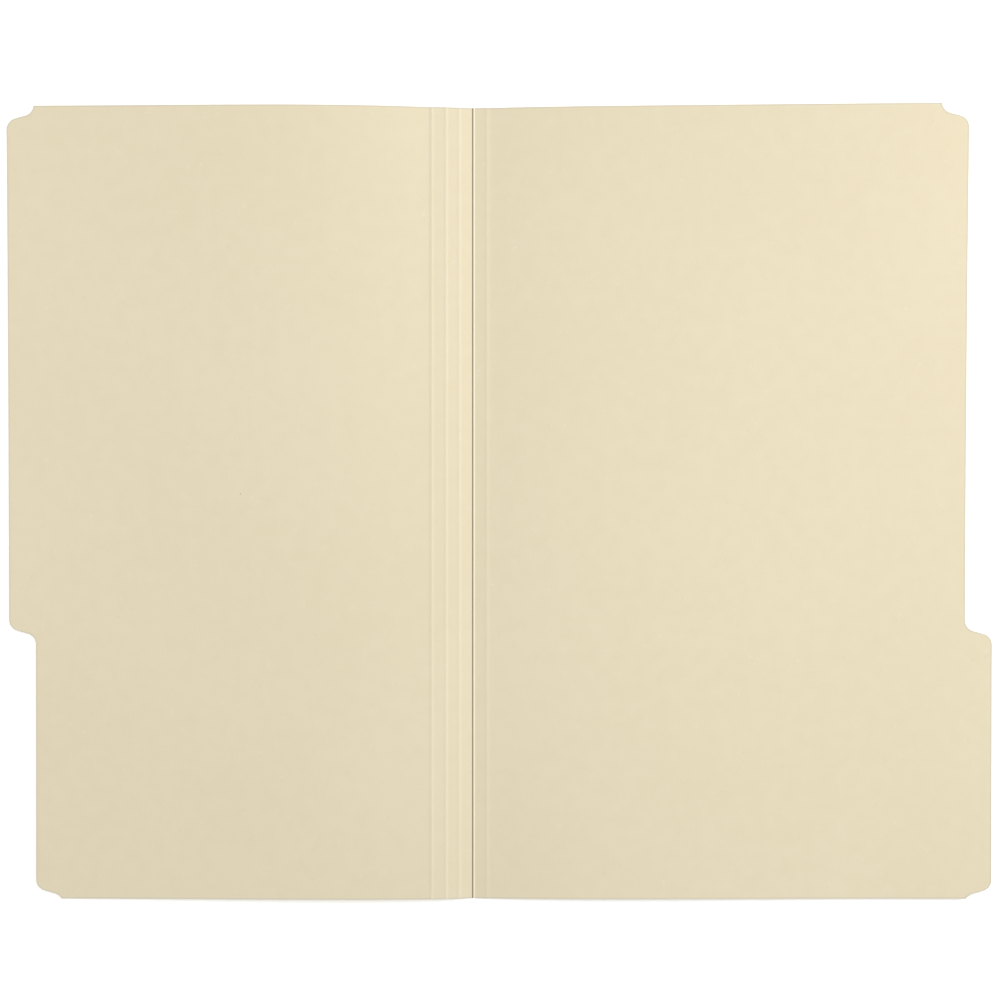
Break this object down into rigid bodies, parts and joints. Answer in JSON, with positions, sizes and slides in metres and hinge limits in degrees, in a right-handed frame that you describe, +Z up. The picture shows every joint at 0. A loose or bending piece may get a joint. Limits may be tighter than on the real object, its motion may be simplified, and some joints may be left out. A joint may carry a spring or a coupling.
{
  "type": "manila file folder",
  "caption": "Open file folder of manila board: a front leaf with an undercut and a back leaf with an index tab, joined by a main fold and expansion scores.",
  "frame": {"origin": "on the surface that the open folder lies on, midway between its two free edges and its two ends", "axes": "+X from the front leaf to the back leaf, +Y along the main fold towards the head, away from the tab, +Z up from the inner face"},
  "size_m": [0.4648, 0.3746, 0.009],
  "materials": {
    "manila_board": "buff manila board, matt, with fine fibres",
    "manila_crease": "the same board, creased: crushed fibres, a little paler on the rib and darker in the fold"
  },
  "bodies": {
    "back_leaf": {"back_leaf": "manila_board"},
    "back_strip": {"back_strip": "manila_board", "back_score_rib": "manila_crease", "main_fold_crease": "manila_crease"},
    "inner_strip": {"inner_strip": "manila_board"},
    "middle_strip": {"middle_strip": "manila_board", "inner_score_rib": "manila_crease"},
    "outer_strip": {"outer_strip": "manila_board", "middle_score_rib": "manila_crease"},
    "front_leaf": {"front_leaf": "manila_board", "outer_score_rib": "manila_crease"}
  },
  "joints": [
    {"name": "back_score_fold", "type": "hinge", "parent": "back_leaf", "child": "back_strip", "pos_m": [-0.00598, 0, 0.0011], "axis": [0, 1, 0], "range_deg": [0, 5.1]},
    {"name": "main_fold", "type": "hinge", "parent": "back_strip", "child": "inner_strip", "pos_m": [-0.01292, 0, 0.0006], "axis": [0, 1, 0], "range_deg": [0, 158]},
    {"name": "inner_score_fold", "type": "hinge", "parent": "inner_strip", "child": "middle_strip", "pos_m": [-0.01915, 0, 0.00191], "axis": [0, 1, 0], "range_deg": [0, 4.5]},
    {"name": "middle_score_fold", "type": "hinge", "parent": "middle_strip", "child": "outer_strip", "pos_m": [-0.02539, 0, 0.00306], "axis": [0, 1, 0], "range_deg": [0, 3.5]},
    {"name": "outer_score_fold", "type": "hinge", "parent": "outer_strip", "child": "front_leaf", "pos_m": [-0.03169, 0, 0.00384], "axis": [0, 1, 0], "range_deg": [0, 7]}
  ]
}
